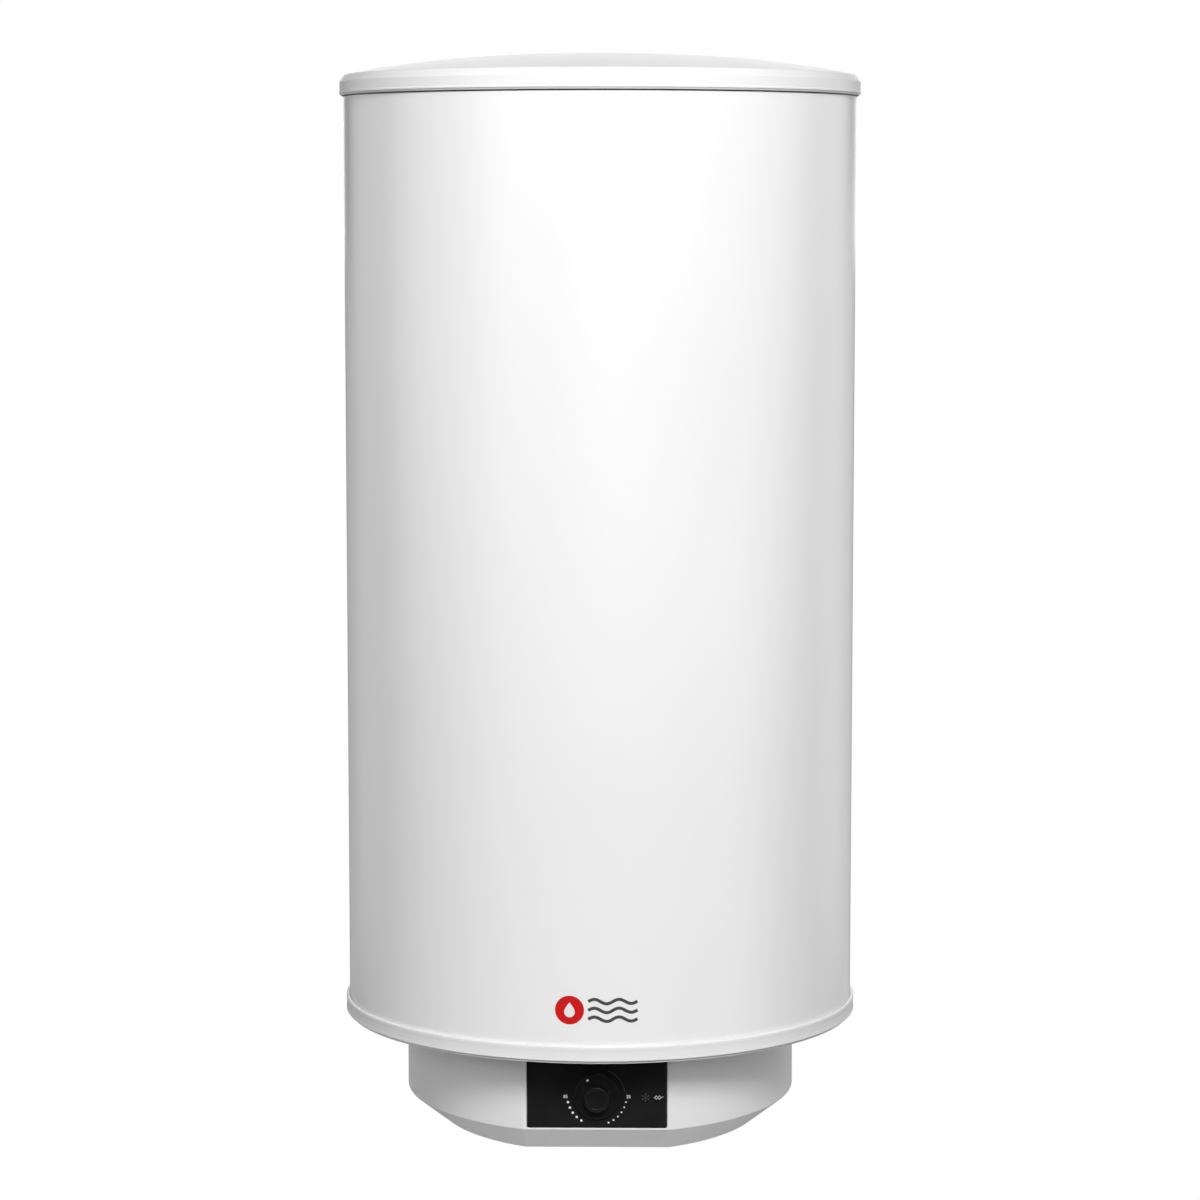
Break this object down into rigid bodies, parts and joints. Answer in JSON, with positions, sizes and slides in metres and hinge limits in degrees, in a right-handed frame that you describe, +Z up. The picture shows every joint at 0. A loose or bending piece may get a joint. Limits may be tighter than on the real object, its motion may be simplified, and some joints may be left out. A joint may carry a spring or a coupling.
{
  "type": "tank water heater",
  "caption": "Wall-hung vertical electric storage water heater: insulated round tank, domed cap, service cover with temperature knob, pipe stubs below, hanging bracket behind.",
  "frame": {"origin": "centre of the hanging bracket's back face, where it lies on the wall", "axes": "+Z up along the tank, +Y into the wall, -Y is the front with the controls, +X to the right of a viewer facing the front"},
  "size_m": [0.4618, 0.4689, 0.951],
  "materials": {
    "jacket_enamel": "white stoved enamel on sheet steel, satin gloss",
    "cap_plastic": "white injection-moulded plastic, satin, very fine grain",
    "cover_plastic": "white injection-moulded plastic, satin, fine grain",
    "fascia_black": "black gloss panel with printed white scale",
    "knob_black": "black satin knob with a white pointer",
    "gland_black": "black nylon",
    "inner_plastic": "off-white nylon",
    "blue_plastic": "blue plastic collar for cold water",
    "red_plastic": "red plastic",
    "galvanised_steel": "galvanised sheet and pipe, faint spangle",
    "zinc_steel": "bright zinc-plated fasteners",
    "tank_enamel": "dark blue vitreous enamel on steel",
    "copper": "drawn copper, slightly tarnished",
    "brass": "turned brass",
    "ceramic": "glazed steatite",
    "foam": "rigid polyurethane foam",
    "silicone": "red silicone rubber",
    "magnesium": "cast magnesium alloy, dull",
    "bakelite": "dark moulded phenolic",
    "circuit_board": "green circuit board",
    "clear_lens": "clear light guide",
    "lead_brown": "brown wire insulation",
    "lead_blue": "blue wire insulation",
    "lead_earth": "yellow and green wire insulation",
    "lead_black": "black twin wire insulation"
  },
  "bodies": {
    "heater": {"outer_jacket": "jacket_enamel", "top_cap": "cap_plastic", "bottom_cap": "cap_plastic", "insulation_foam": "foam", "inner_tank": "tank_enamel", "flange_ring": "galvanised_steel", "flange_gasket": "silicone", "flange_plate": "tank_enamel", "flange_bolt_1": "zinc_steel", "flange_bolt_2": "zinc_steel", "flange_bolt_3": "zinc_steel", "flange_bolt_4": "zinc_steel", "flange_bolt_5": "zinc_steel", "flange_bolt_6": "zinc_steel", "heating_element": "copper", "element_terminal_left": "ceramic", "element_terminal_right": "ceramic", "anode_rod": "magnesium", "anode_nut": "zinc_steel", "thermowell": "copper", "cold_inlet_pipe": "galvanised_steel", "hot_outlet_pipe": "galvanised_steel", "inlet_diffuser": "inner_plastic", "hot_riser": "zinc_steel", "cold_water_collar": "blue_plastic", "hot_water_collar": "red_plastic", "wall_bracket": "galvanised_steel", "lower_spacer": "inner_plastic", "service_cover": "cover_plastic", "cover_screw_1": "zinc_steel", "cover_screw_2": "zinc_steel", "cover_screw_3": "zinc_steel", "cover_screw_4": "zinc_steel", "control_fascia": "fascia_black", "regulating_thermostat": "bakelite", "safety_cutout": "bakelite", "heating_lamp_lens": "clear_lens", "frost_lamp_lens": "clear_lens", "lamp_board": "circuit_board", "component_bracket": "galvanised_steel", "terminal_bracket": "galvanised_steel", "terminal_block": "inner_plastic", "terminal_screw_1": "brass", "terminal_screw_2": "brass", "terminal_screw_3": "brass", "earth_stud": "brass", "cable_gland": "gland_black", "gland_nut": "gland_black", "regulator_capillary": "copper", "cutout_capillary": "copper", "supply_lead": "lead_brown", "link_lead": "lead_brown", "element_live_lead": "lead_brown", "element_neutral_lead": "lead_blue", "earth_lead": "lead_earth", "lamp_lead": "lead_black"},
    "knob": {"temperature_knob": "knob_black", "thermostat_shaft": "zinc_steel"},
    "reset": {"reset_button": "red_plastic"}
  },
  "joints": [
    {"name": "knob_turn", "type": "hinge", "parent": "heater", "child": "knob", "pos_m": [0, -0.4065, -0.7594], "axis": [0, 1, 0], "range_deg": [0, 300]},
    {"name": "reset_press", "type": "slide", "parent": "heater", "child": "reset", "axis": [0, 1, 0], "range_m": [0, 0.0015], "stiffness_N_per_m": 500}
  ]
}
